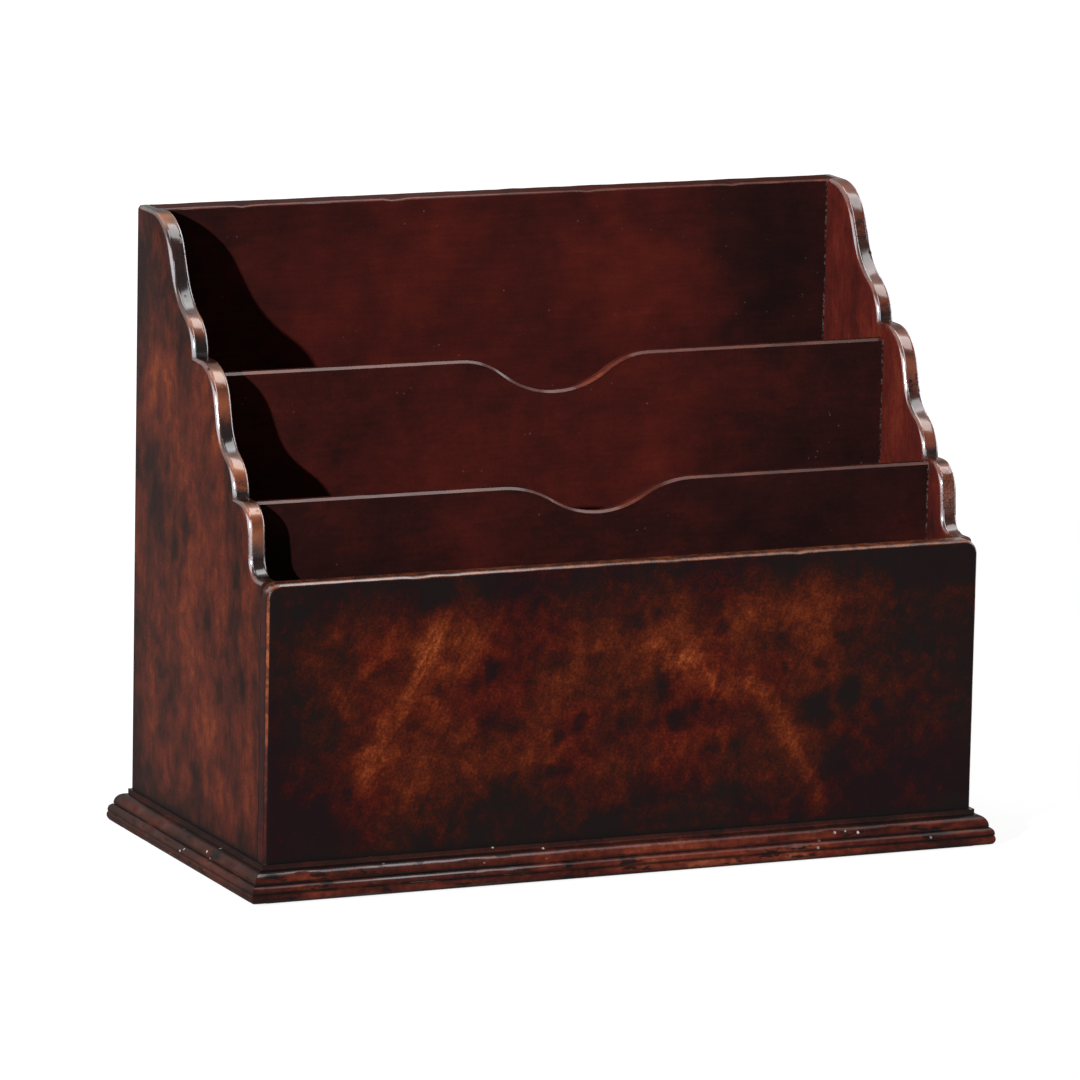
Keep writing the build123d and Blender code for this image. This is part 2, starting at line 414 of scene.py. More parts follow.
@dataclass(frozen=True)
class InnerMahogany:
    """The back, the dividers and the sides' inner faces: dark red, cloudy, shaded to the ends.

    The inner face is how far a side's inner face stands from the middle, and the rear face is how
    far back the carcass reaches.
    """

    inner_face: float
    rear_face: float
    polish: Polish = Polish(specular=0.0)

    STOPS = (
        (0.00, (0.0110, 0.0048, 0.0048)),
        (0.25, (0.0205, 0.0062, 0.0057)),
        (0.50, (0.0425, 0.0078, 0.0064)),
        (0.72, (0.0660, 0.0100, 0.0073)),
        (1.00, (0.1050, 0.0185, 0.0100)),
    )

    def colour(self, bench: PaintBench, place: Wire) -> Wire:
        """Draw the figure.

        Args:
            bench: The material's paint bench.
            place: Places on the board.

        Returns:
            The colour.
        """
        drifting = bench.warped(place, 20.0, 9 * MM)
        lying = bench.stretched(drifting, 0.9, 1.0, 1.0)
        cloud = bench.swing(lying, 15.0, 0.17, 5.0)
        mottle = bench.swing(lying, 80.0, 0.09)
        hairs = bench.swing(bench.stretched(place, 0.10, 0.5, 1.0), 700.0, 0.045, 3.0)
        pores = bench.swing(place, 1000.0, 0.05, 2.0)
        x, y, z = bench.parts(drifting)
        left_end = x.rising(-0.45 * self.inner_face, -self.inner_face)
        right_end = (x - 0.55 * y).rising(0.25 * self.inner_face, 0.70 * self.inner_face)
        forwards = y.rising(10 * MM, -25 * MM)
        shade = 0.18 * left_end + (0.36 - 0.22 * forwards) * right_end + 0.25 * forwards
        shade = shade + 0.10 * z.rising(195 * MM, 240 * MM)
        return bench.ramp(0.54 + cloud + mottle + hairs + pores - shade, self.STOPS)

    def material(self) -> bpy.types.Material:
        """Make the material for the back and the dividers.

        Returns:
            The material.
        """
        bench = PaintBench.named("inner_mahogany")
        place = bench.place()
        dust = self._dust(bench, place)
        colour = bench.mixed(dust, self.colour(bench, place), (0.20, 0.185, 0.165))
        x_part, y_part, z_part = bench.facing()
        arris = x_part.at_least(y_part).at_least(z_part).rising(0.995, 0.92)
        upper = z_part.rising(0.60, 0.90)
        lying = bench.stretched(place, 0.4, 1.0, 1.0)
        ragged = bench.noise(lying, 150.0, 4.0, 0.7).rising(0.38, 0.62)
        rubbed = arris.at_least(0.7 * upper) * (0.35 + 0.65 * ragged)
        pale = bench.mixed(upper, (0.190, 0.045, 0.024), (0.100, 0.022, 0.013))
        colour = bench.mixed(0.75 * rubbed, colour, pale)
        leftwards = bench.parts(place)[0].rising(70 * MM, -50 * MM)
        worn = (0.36 * arris).at_least(0.06 * upper) * (0.35 + 0.65 * leftwards)
        height = 0.7 * bench.noise(place, 1300.0, 3.0, 0.6) + 0.3 * ragged
        return self.polish.lay(bench, colour, worn, bench.bump(height, 0.02 * MM))

    def _dust(self, bench: PaintBench, place: Wire) -> Wire:
        """Find the pale dust that has caught in the corners.

        Args:
            bench: The material's paint bench.
            place: Places on the board.

        Returns:
            How thick it lies, from 0 to 1.
        """
        x, y, _ = bench.parts(place)
        corner = abs(x).rising(self.inner_face - 0.9 * MM, self.inner_face - 0.3 * MM)
        corner = corner * y.rising(self.rear_face - 1.0 * MM, self.rear_face - 2.5 * MM)
        line = 0.35 * corner * bench.noise(place, 700.0, 3.0, 0.6).rising(0.47, 0.62)
        sparse = bench.noise(place, 70.0, 1.0).rising(0.54, 0.68)
        return line.at_least(0.20 * bench.spots(place, 260.0).rising(0.12, 0.06) * sparse)


@dataclass(frozen=True)
class SideMahogany:
    """The sides: amber and near-black clouds in upright grain, with glossy scalloped edges.

    The edges are nearly black in the hollows and notches, partly grime and partly painted shade,
    and rubbed to an orange-brown where they stand proud. The inner face is how far a side's inner
    face stands from the middle.
    """

    inner_face: float
    polish: Polish = Polish(specular=0.03)

    STOPS = (
        (0.00, (0.0120, 0.0050, 0.0042)),
        (0.25, (0.0260, 0.0074, 0.0052)),
        (0.50, (0.0520, 0.0110, 0.0066)),
        (0.75, (0.0860, 0.0165, 0.0078)),
        (1.00, (0.1450, 0.0320, 0.0110)),
    )
    RUBBED = Patch.rows(
        (47, 245, 9, 0.8), (15, 209, 9, 0.8), (-8, 192, 10, 0.9), (-15, 182, 10, 0.9),
        (-30, 160, 10, 1.0), (-34, 153, 6, 0.8), (-47, 146, 8, 1.0), (-51, 138, 9, 0.9),
    )
    # Near-black patches in the hollows and notches: partly grime, partly painted shade.
    GRIME_AND_SHADE = Patch.rows(
        (30, 223, 11, 0.8), (9, 199, 6, 1.0), (-21, 171, 8, 0.9), (-34, 151, 4, 1.0),
        (-55, 127, 7, 0.8),
    )
    SPOTS = Patch.rows(
        (-46, 78, 7, 0.9), (-25, 44, 8, 0.8), (12, 128, 10, 0.6), (-8, 96, 7, 0.6),
        (38, 70, 9, 0.6), (-38, 116, 6, 0.8), (2, 34, 9, 0.6), (44, 176, 11, 0.5),
    )

    def material(self, low: Vector, high: Vector) -> bpy.types.Material:
        """Make the material.

        Args:
            low: A side's lowest corner.
            high: Its highest corner.

        Returns:
            The material.
        """
        bench = PaintBench.named("side_mahogany")
        place = bench.place()
        x, y, z = bench.parts(place)
        across, _, upwards = bench.facing()
        outer = self._outer(bench, place, low, high)
        inwards = abs(x).rising(self.inner_face + 1.6 * MM, self.inner_face + 0.6 * MM)
        colour = bench.mixed(inwards, outer, self._inner(bench, place))
        exposed = y.rising(high.y - 1.5 * MM, high.y - 3.0 * MM)
        edge = across.rising(0.90, 0.45) * exposed
        colour = bench.mixed(edge, colour, self._edge(bench, place))
        arris = across.rising(0.98, 0.80) * across.rising(0.05, 0.35)
        rubbed = arris * bench.noise(place, 240.0, 4.0, 0.7).rising(0.42, 0.62)
        colour = bench.mixed(0.30 * rubbed, colour, (0.200, 0.080, 0.050))
        chips = self._chips(bench, place) * edge
        colour = bench.waxed_foot(bench.mixed(chips, colour, WAX), z)
        height = bench.noise(place, 1300.0, 3.0, 0.6)
        hand_worn = edge * bench.noise(place, 190.0, 2.0)
        relief = bench.bump(height + 14 * hand_worn - 4 * chips, 0.02 * MM)
        glossy = across.rising(0.985, 0.88) * (1 - 0.85 * upwards.rising(0.78, 0.96))
        glossy = glossy * exposed * (1 - 0.9 * chips)
        return self.polish.lay(bench, colour, glossy, relief)

    @staticmethod
    def _chips(bench: PaintBench, place: Wire) -> Wire:
        """Find the pits and the fine cracks in the edges' polish.

        Args:
            bench: The material's paint bench.
            place: Places on the board.

        Returns:
            How deep they are, from 0 to 1.
        """
        pits = bench.spots(place, 200.0).rising(0.22, 0.12)
        pits = pits * bench.noise(place, 90.0, 1.0).rising(0.54, 0.62)
        crazed = bench.cracks(bench.warped(place, 300.0, 1.0 * MM), 620.0)
        sparse = bench.noise(place, 55.0, 1.0).rising(0.56, 0.62)
        return (0.9 * pits).at_least(0.8 * crazed * sparse)

    @staticmethod
    def _inner(bench: PaintBench, place: Wire) -> Wire:
        """Draw the inner face, which is a warmer red than the back.

        Args:
            bench: The material's paint bench.
            place: Places on the board.

        Returns:
            The colour.
        """
        drifting = bench.warped(bench.stretched(place, 0.0, 1.0, 1.0), 60.0, 4 * MM)
        cloud = bench.swing(bench.stretched(drifting, 1.0, 1.0, 0.6), 50.0, 0.30, 5.0)
        hairs = bench.swing(bench.stretched(place, 0.0, 1.0, 0.15), 700.0, 0.08, 3.0)
        forwards = bench.parts(drifting)[1].rising(-10 * MM, -55 * MM)
        tone = 0.67 + cloud + hairs + bench.swing(place, 1000.0, 0.07, 2.0) - 0.22 * forwards
        return bench.ramp(tone, InnerMahogany.STOPS)

    def _outer(self, bench: PaintBench, place: Wire, low: Vector, high: Vector) -> Wire:
        """Draw the outer face's figure.

        Args:
            bench: The material's paint bench.
            place: Places on the side.
            low: The side's lowest corner.
            high: Its highest corner.

        Returns:
            The colour.
        """
        drifting = bench.warped(bench.warped(place, 42.0, 5 * MM), 260.0, 1.2 * MM)
        cloud = bench.swing(bench.stretched(drifting, 1.0, 1.0, 0.60), 34.0, 0.36, 8.0)
        mottle = bench.swing(bench.stretched(drifting, 1.0, 1.0, 0.80), 160.0, 0.20, 6.0)
        hairs = bench.swing(bench.stretched(place, 1.0, 1.0, 0.12), 700.0, 0.08, 3.0)
        pores = bench.swing(place, 1100.0, 0.14, 3.0)
        _, y, z = bench.parts(drifting)
        bottom = z.rising(low.z + 20 * MM, low.z)
        top = z.rising(high.z - 70 * MM, high.z - 8 * MM)
        rear = y.rising(high.y - 26 * MM, high.y + 4 * MM)
        shade = bottom.at_least(0.8 * top).at_least(0.6 * rear)
        flat = bench.stretched(drifting, 0.0, 1.0, 1.0)
        spots = bench.patched(flat, self.SPOTS, 1)
        scatter = bench.spots(bench.stretched(drifting, 1.0, 1.0, 0.6), 55.0).rising(0.44, 0.08)
        spots = spots.at_least(0.8 * scatter * bench.noise(place, 26.0, 2.0).rising(0.47, 0.58))
        tone = 0.50 + cloud + mottle + hairs + pores - 0.42 * spots - 0.34 * shade
        return bench.ramp(tone, self.STOPS)

    def _edge(self, bench: PaintBench, place: Wire) -> Wire:
        """Draw the scalloped edge: painted shade and grime deep down, rubbed where it stands proud.

        Args:
            bench: The material's paint bench.
            place: Places on the board.

        Returns:
            The colour.
        """
        drifting = bench.stretched(bench.warped(place, 120.0, 2.5 * MM), 0.0, 1.0, 1.0)
        rubbed = bench.patched(drifting, self.RUBBED, 1)
        grime_and_shade = bench.patched(drifting, self.GRIME_AND_SHADE, 1)
        flecked = 0.8 * bench.noise(place, 260.0, 4.0, 0.65).rising(0.46, 0.62) * (1 - rubbed)
        rightwards = bench.parts(place)[0].rising(-0.1, 0.1)
        ground = bench.mixed(rightwards, (0.024, 0.0085, 0.0060), (0.090, 0.021, 0.011))
        _, _, upwards = bench.facing()
        bare = bench.mixed(upwards.rising(0.45, 0.70), (0.230, 0.062, 0.025), (0.400, 0.160, 0.085))
        bare = bench.mixed(0.8 * rightwards, bare, (0.150, 0.044, 0.024))
        colour = bench.mixed(flecked, bench.mixed(rubbed, ground, bare), (0.012, 0.006, 0.005))
        # Darken the hollows and notches, partly as grime and partly as painted shade.
        return bench.mixed(grime_and_shade, colour, (0.0055, 0.0040, 0.0040))


@dataclass(frozen=True)
class FrontBurl:
    """The front board's mottled figure: amber streaks and dark eyes on a shaded ground."""

    polish: Polish = Polish()

    # The lowest stop is greyed: a painted reflection of haze where the board is darkest.
    STOPS = (
        (0.00, (0.0095, 0.0060, 0.0060)),
        (0.16, (0.0145, 0.0058, 0.0050)),
        (0.34, (0.0300, 0.0064, 0.0042)),
        (0.52, (0.0560, 0.0092, 0.0042)),
        (0.72, (0.1050, 0.0180, 0.0054)),
        (0.88, (0.1820, 0.0355, 0.0105)),
        (1.00, (0.2750, 0.0670, 0.0190)),
    )
    STREAKS = (
        Streak((-78, 106), (-92, 76), 8.5, 0.88),
        Streak((-92, 76), (-109, 46), 11, 0.72),
        Streak((-66, 95), (-80, 72), 11, 0.50),
        Streak((-80, 72), (-90, 34), 13, 0.42),
        Streak((-99, 100), (-108, 86), 8, 0.30),
        Streak((-118, 74), (-104, 60), 10, 0.30),
        Streak((10, 90), (30, 78), 13, 0.60),
        Streak((28, 77), (57, 68), 10, 0.72),
        Streak((57, 68), (73, 46), 7, 0.75),
        Streak((73, 46), (84, 21), 6, 0.70),
        Streak((76, 106), (84, 74), 18, 0.24),
        Streak((133, 50), (122, 42), 8, 0.30),
        Streak((102, 58), (102, 36), 9, 0.28),
        Streak((-3, 31), (-32, 18), 9, 0.32),
        Streak((-76, 28), (-94, 32), 8, 0.30),
    )
    EYES = Patch.rows(
        (-81, 114, 12, 1.0), (-58, 116, 9, 0.55), (-57, 82, 8, 0.85), (-40, 89, 6, 0.6),
        (-29, 85, 9, 0.6), (-15, 84, 6, 0.6), (-2, 70, 5, 0.8), (14, 73, 9, 0.9), (1, 59, 8, 0.5),
        (22, 59, 9, 1.0), (28, 64, 6, 0.8), (-57, 62, 12, 0.6), (-77, 77, 8, 0.6),
        (-110, 59, 6, 0.5), (-120, 92, 10, 0.5), (81, 60, 12, 1.0), (95, 65, 9, 0.9),
        (90, 40, 12, 0.75), (37, 47, 8, 0.6), (47, 48, 7, 0.6), (9, 33, 11, 0.6),
        (-52, 36, 11, 0.6), (-9, 22, 12, 0.6), (-37, 43, 9, 0.5), (66, 86, 9, 0.5),
        (35, 102, 13, 0.6), (2, 99, 10, 0.5), (-106, 47, 11, 0.28),
    )

    def material(self, low: Vector, high: Vector) -> bpy.types.Material:
        """Make the material.

        Args:
            low: The front board's lowest corner.
            high: Its highest corner.

        Returns:
            The material.
        """
        bench = PaintBench.named("front_burl")
        place = bench.place()
        x, _, z = bench.parts(place)
        flat = bench.stretched(place, 1.0, 0.0, 1.0)
        drifting = bench.warped(bench.warped(flat, 60.0, 3.5 * MM), 300.0, 1.8 * MM)
        leaning = bench.stretched(bench.turned(flat, -28.0), 1.0, 1.0, 0.16)
        hairs = bench.swing(leaning, 560.0, 0.07, 3.0)
        cloud = bench.swing(drifting, 26.0, 0.17, 8.0)
        mottle = bench.swing(drifting, 160.0, 0.15, 6.0)
        pores = bench.swing(place, 900.0, 0.12, 3.0)
        streaks = self._streaks(bench, drifting)
        x_part, y_part, z_part = bench.facing()
        end_grain = x_part.rising(0.60, 0.85)
        shade = self._shade(bench, drifting, low, high) * (1 - 0.9 * end_grain)
        tone = 0.47 + cloud + mottle + pores + 0.6 * hairs - 0.16 * end_grain
        eyes = self._eyes(bench, drifting)
        tone = tone + streaks * (0.38 + 1.2 * hairs) - 0.42 * eyes - 0.44 * shade
        colour = bench.ramp(tone, self.STOPS)
        redder = bench.noise(drifting, 17.0, 3.0).rising(0.44, 0.58) * (1 - streaks)
        colour = bench.mixed(redder, colour, bench.stretched(colour, 1.04, 0.74, 0.92))
        ragged = bench.noise(place, 190.0, 4.0, 0.7).rising(0.40, 0.62)
        upright = (x_part * y_part).rising(0.36, 0.47) * z.rising(10 * MM, 100 * MM)
        top = z_part.rising(0.30, 0.60)
        rubbed = upright.at_least(0.75 * top) * (0.25 + 0.75 * ragged)
        colour = bench.mixed(rubbed, colour, (0.240, 0.066, 0.026))
        colour = bench.waxed_foot(colour, z)
        arris = x_part.at_least(y_part).at_least(z_part).rising(0.995, 0.90)
        height = bench.noise(place, 1500.0, 3.0, 0.6) + 8 * arris * bench.noise(place, 170.0, 2.0)
        polished = 1 - 0.75 * x.rising(-110 * MM, 10 * MM)
        return self.polish.lay(bench, colour, top * polished, bench.bump(height, 0.02 * MM))

    def _streaks(self, bench: PaintBench, place: Wire) -> Wire:
        """Draw the bright bands.

        Args:
            bench: The material's paint bench.
            place: Places on the board.

        Returns:
            How bright they are, from 0 to 1.
        """
        bands = []
        for streak in self.STREAKS:
            start = Vector((streak.start[0], 0, streak.start[1])) * MM
            along = Vector((streak.end[0], 0, streak.end[1])) * MM - start
            offset = bench.vector("SUBTRACT", place, tuple(start))
            slope = tuple(along / along.length_squared)
            share = bench.vector("DOT_PRODUCT", offset, slope, output=1)
            nearest = bench.scaled(tuple(along), share.at_least(0.0).at_most(1.0))
            distance = bench.vector("DISTANCE", offset, nearest, output=1)
            bands.append(streak.strength * distance.rising(streak.width * MM, 0.0))
        return bench.strongest(bands)

    def _eyes(self, bench: PaintBench, place: Wire) -> Wire:
        """Draw the dark eyes.

        Args:
            bench: The material's paint bench.
            place: Places on the board.

        Returns:
            How dark they are, from 0 to 1.
        """
        large = bench.patched(place, self.EYES, 0)
        small = bench.spots(place, 85.0).rising(0.44, 0.10)
        sparse = bench.noise(place, 32.0, 2.0).rising(0.46, 0.58)
        return large.at_least(0.75 * small * sparse)

    def _shade(self, bench: PaintBench, place: Wire, low: Vector, high: Vector) -> Wire:
        """Shade the board's borders.

        Args:
            bench: The material's paint bench.
            place: Places on the board.
            low: The board's lowest corner.
            high: Its highest corner.

        Returns:
            How dark they are, from 0 to 1.15.
        """
        x, _, z = bench.parts(place)
        left = x.rising(low.x + 44 * MM, low.x)
        right = x.rising(high.x - 84 * MM, high.x - 12 * MM)
        bottom = z.rising(low.z + 34 * MM, low.z + 4 * MM)
        top = z.rising(high.z - 24 * MM, high.z)
        return (0.92 * left + 0.85 * right + 0.80 * bottom + 0.82 * top).at_most(1.15)


@dataclass(frozen=True)
class MouldingMahogany:
    """The base moulding: red-brown, knocked about, with black wax in its quirks and dents.

    The quirks are the heights, in millimetres, of the hollow lines along it.
    """

    quirks: tuple[float, ...] = (12.3, 8.1, 4.9)
    quirk_reach: float = 0.9
    polish: Polish = Polish(specular=0.04)

    STOPS = (
        (0.00, (0.0080, 0.0040, 0.0036)),
        (0.30, (0.0240, 0.0060, 0.0044)),
        (0.55, (0.0600, 0.0110, 0.0066)),
        (0.80, (0.1200, 0.0220, 0.0110)),
        (1.00, (0.1900, 0.0520, 0.0240)),
    )

    def material(self) -> bpy.types.Material:
        """Make the material.

        Returns:
            The material.
        """
        bench = PaintBench.named("moulding_mahogany")
        place = bench.place()
        lying = bench.stretched(place, 0.35, 0.35, 1.0)
        cloud = bench.swing(lying, 90.0, 0.30, 5.0)
        fleck = bench.swing(place, 420.0, 0.10, 3.0)
        pits = bench.noise(lying, 240.0, 3.0, 0.6).rising(0.56, 0.64)
        x, _, z = bench.parts(place)
        x_part, y_part, z_part = bench.facing()
        grimy = x_part.rising(0.15, 0.40)
        handled = x.rising(-90 * MM, -5 * MM) * x.rising(150 * MM, 60 * MM) * (1 - grimy)
        wax = bench.strongest(
            abs(z - quirk * MM).rising(self.quirk_reach * MM, 0.3 * MM) for quirk in self.quirks
        )
        wax = wax * bench.noise(lying, 130.0).rising(0.30, 0.46)
        wax = wax * (1 - 0.20 * handled - 0.45 * grimy)
        wax = wax.at_least(z.rising(2.4 * MM, 1.2 * MM))
        tone = 0.49 + 0.13 * handled + cloud + fleck - 0.09 * grimy
        colour = bench.mixed(0.45 * grimy, bench.ramp(tone, self.STOPS), (0.030, 0.0125, 0.0075))
        wax = wax.at_least(0.8 * z.rising(12.6 * MM, 13.4 * MM))
        colour = bench.mixed((0.9 * pits).at_least(0.92 * wax), colour, WAX)
        chalk = bench.spots(place, 210.0).rising(0.16, 0.08)
        chalk = chalk * bench.noise(place, 60.0, 1.0).rising(0.52, 0.60)
        colour = bench.mixed(0.8 * chalk, colour, (0.50, 0.47, 0.43))
        leftwards = x.rising(70 * MM, -130 * MM)
        crown = z_part.rising(0.25, 0.50) * y_part.rising(0.15, 0.40) * (0.10 + 0.70 * leftwards**2)
        broken = bench.noise(bench.stretched(place, 0.15, 0.15, 1.0), 130.0).rising(0.38, 0.56)
        corner = (x_part * y_part).rising(0.28, 0.42)
        worn = crown * (0.25 + 0.75 * broken) * (1 - 0.5 * pits)
        worn = worn.at_least(0.10 * (1 - grimy)).at_least(0.8 * corner)
        height = 0.6 * bench.noise(lying, 120.0) - 0.5 * pits
        return self.polish.lay(bench, colour, worn, bench.bump(height, 0.06 * MM))


@dataclass(frozen=True)
class PlainTimber:
    """The hidden base board: plain straight-grained secondary wood, darkened by age."""

    STOPS = (
        (0.2, (0.030, 0.014, 0.009)),
        (0.5, (0.075, 0.034, 0.020)),
        (0.8, (0.130, 0.065, 0.036)),
    )

    def material(self) -> bpy.types.Material:
        """Make the material.

        Returns:
            The material.
        """
        bench = PaintBench.named("base_timber")
        place = bench.place()
        hairs = bench.noise(bench.stretched(place, 0.05, 1.0, 1.0), 240.0, 4.0, 0.6)
        tone = 0.5 + 0.9 * (hairs - 0.5) + bench.swing(place, 25.0, 0.12)
        varied = {
            "Base Color": bench.ramp(tone, self.STOPS),
            "Roughness": 0.55 + 0.2 * hairs,
            "Normal": bench.bump(hairs, 0.05 * MM),
        }
        return bench.surface(varied, {"Specular IOR Level": 0.3})


@dataclass(frozen=True)
class CutIron:
    """The brads: dull sheared iron with a little rust."""

    def material(self) -> bpy.types.Material:
        """Make the material.

        Returns:
            The material.
        """
        bench = PaintBench.named("brad_iron")
        place = bench.place()
        rust = bench.noise(place, 500.0, 4.0, 0.6).rising(0.48, 0.62)
        varied = {
            "Base Color": bench.mixed(rust, (0.16, 0.15, 0.14), (0.10, 0.035, 0.015)),
            "Metallic": 1 - 0.8 * rust,
            "Roughness": 0.42 + 0.35 * rust,
            "Normal": bench.bump(bench.noise(place, 1600.0, 3.0), 0.03 * MM),
        }
        return bench.surface(varied, {})


@dataclass(frozen=True)
class GreenBaize:
    """The underlay: matt felted wool with a short nap."""

    STOPS = (
        (0.20, (0.008, 0.035, 0.018)),
        (0.50, (0.018, 0.075, 0.038)),
        (0.85, (0.040, 0.130, 0.070)),
    )

    def material(self) -> bpy.types.Material:
        """Make the material.

        Returns:
            The material.
        """
        bench = PaintBench.named("green_baize")
        place = bench.place()
        nap = bench.noise(place, 2200.0, 4.0, 0.7)
        tone = 0.5 + 0.9 * (nap - 0.5) + bench.swing(place, 60.0, 0.12)
        varied = {
            "Base Color": bench.ramp(tone, self.STOPS),
            "Roughness": 0.92 + 0.08 * nap,
            "Normal": bench.bump(nap, 0.25 * MM),
        }
        fixed = {"Specular IOR Level": 0.15, "Sheen Weight": 0.5, "Sheen Roughness": 0.45}
        return bench.surface(varied, fixed)


# ---- Worked pieces -----------------------------------------------------------------------------


@dataclass(frozen=True)
class Knock:
    """A dent or nick: its middle, how wide and deep it is, and which way it was struck."""

    middle: Point
    radius: float
    depth: float
    towards: Point


def everywhere(_: Vector) -> bool:
    """Choose every face."""
    return True


def alone(piece: bpy.types.Object) -> None:
    """Select one piece only.

    Args:
        piece: The piece.
    """
    bpy.ops.object.select_all(action="DESELECT")
    piece.select_set(True)
    bpy.context.view_layer.objects.active = piece


class WorkedPiece:
    """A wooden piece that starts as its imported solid's form and is worn further, as by use."""

    MERGE_DISTANCE = 0.001 * MM
    FLAT_ANGLE = math.radians(0.2)
    SMOOTH_ANGLE = math.radians(28)

    def __init__(self, node: bpy.types.Object) -> None:
        """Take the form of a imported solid.

        Args:
            node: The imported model's node.
        """
        self.node = node.name
        self.object = bpy.data.objects.new(f"worn_{node.name}", node.data.copy())
        self.object.data.name = self.object.name
        self.object.data.materials.clear()
        bpy.context.scene.collection.objects.link(self.object)
        alone(self.object)
        bpy.ops.object.mode_set(mode="EDIT")
        bpy.ops.mesh.select_all(action="SELECT")
        bpy.ops.mesh.customdata_custom_splitnormals_clear()
        bpy.ops.mesh.remove_doubles(threshold=self.MERGE_DISTANCE)
        bpy.ops.mesh.dissolve_limited(angle_limit=self.FLAT_ANGLE)
        bpy.ops.object.mode_set(mode="OBJECT")

    def saw(self, axis: Point, places: Iterable[float], chosen: Chooser = everywhere) -> None:
        """Cut new edges across the piece without parting it.

        Args:
            axis: The direction across the cuts.
            places: Where the cuts are along it.
            chosen: Which faces to cut, by their middles.
        """
        alone(self.object)
        bpy.context.scene.tool_settings.mesh_select_mode = (False, False, True)
        direction = Vector(axis)
        for place in places:
            for polygon in self.object.data.polygons:
                polygon.select = chosen(polygon.center)
            bpy.ops.object.mode_set(mode="EDIT")
            bpy.ops.mesh.bisect(plane_co=direction * place, plane_no=direction)
            bpy.ops.object.mode_set(mode="OBJECT")

    def rub(self, depth: float, grain: float, chosen: Chooser) -> None:
        """Rub a surface unevenly down.

        Args:
            depth: How deep at most.
            grain: How far apart the hollows are.
            chosen: Which points give way, by their places.
        """
        group = self.object.vertex_groups.new(name="rubbed")
        group.add([v.index for v in self.object.data.vertices if chosen(v.co)], 1.0, "REPLACE")
        clouds = bpy.data.textures.new("rubbed", "CLOUDS")
        clouds.noise_scale = grain
        clouds.noise_depth = 2
        displace = self.object.modifiers.new("rubbed", "DISPLACE")
        displace.texture = clouds
        displace.vertex_group = group.name
        displace.strength = -depth
        displace.mid_level = 0.0
        alone(self.object)
        bpy.ops.object.modifier_apply(modifier=displace.name)
        self.object.vertex_groups.clear()

    def knock(self, knocks: Iterable[Knock]) -> None:
        """Press dents into the surface.

        Args:
            knocks: The dents.
        """
        for knock in knocks:
            middle = Vector(knock.middle)
            push = Vector(knock.towards).normalized() * knock.depth
            for vertex in self.object.data.vertices:
                share = (vertex.co - middle).length / knock.radius
                if share < 1:
                    vertex.co += push * (1 - share**2) ** 2

    def nick(self, nicks: Nicks, edge: tuple[float, float], lean: float) -> None:
        """Press nicks into a top edge.

        Args:
            nicks: Each one's place along the edge, radius and depth, in millimetres.
            edge: How far back and how high the edge lies.
            lean: How far a nick is struck backwards for each unit downwards.
        """
        self.knock(
            Knock((x * MM, *edge), radius * MM, depth * MM, (0, lean, -1))
            for x, radius, depth in nicks
        )

    def finish(self, material: bpy.types.Material) -> None:
        """Dress the piece and put it in its node's place.

        Args:
            material: Its material.
        """
        alone(self.object)
        bpy.ops.object.shade_smooth_by_angle(angle=self.SMOOTH_ANGLE)
        self.object.data.materials.append(material)
        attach(self.object, "root")
        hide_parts(self.node)
        log.info("%s: %d faces", self.object.name, len(self.object.data.polygons))


# ---- Studio ------------------------------------------------------------------------------------


class Duty(Enum):
    """What a lamp does: a reflector only shows in the polish, and a filler never does."""

    SOFTBOX = "softbox"
    REFLECTOR = "reflector"
    FILLER = "filler"


@dataclass(frozen=True)
class Lamp:
    """A studio lamp: where it stands, how wide and tall it is and how brightly it lights the rack.

    The level is the share of its colour that a white surface facing the lamp at the rack shows.
    """

    name: str
    away: Point
    distance: float
    width: float
    height: float
    level: float
    duty: Duty = Duty.SOFTBOX
    tint: Colour = (1.0, 1.0, 1.0)


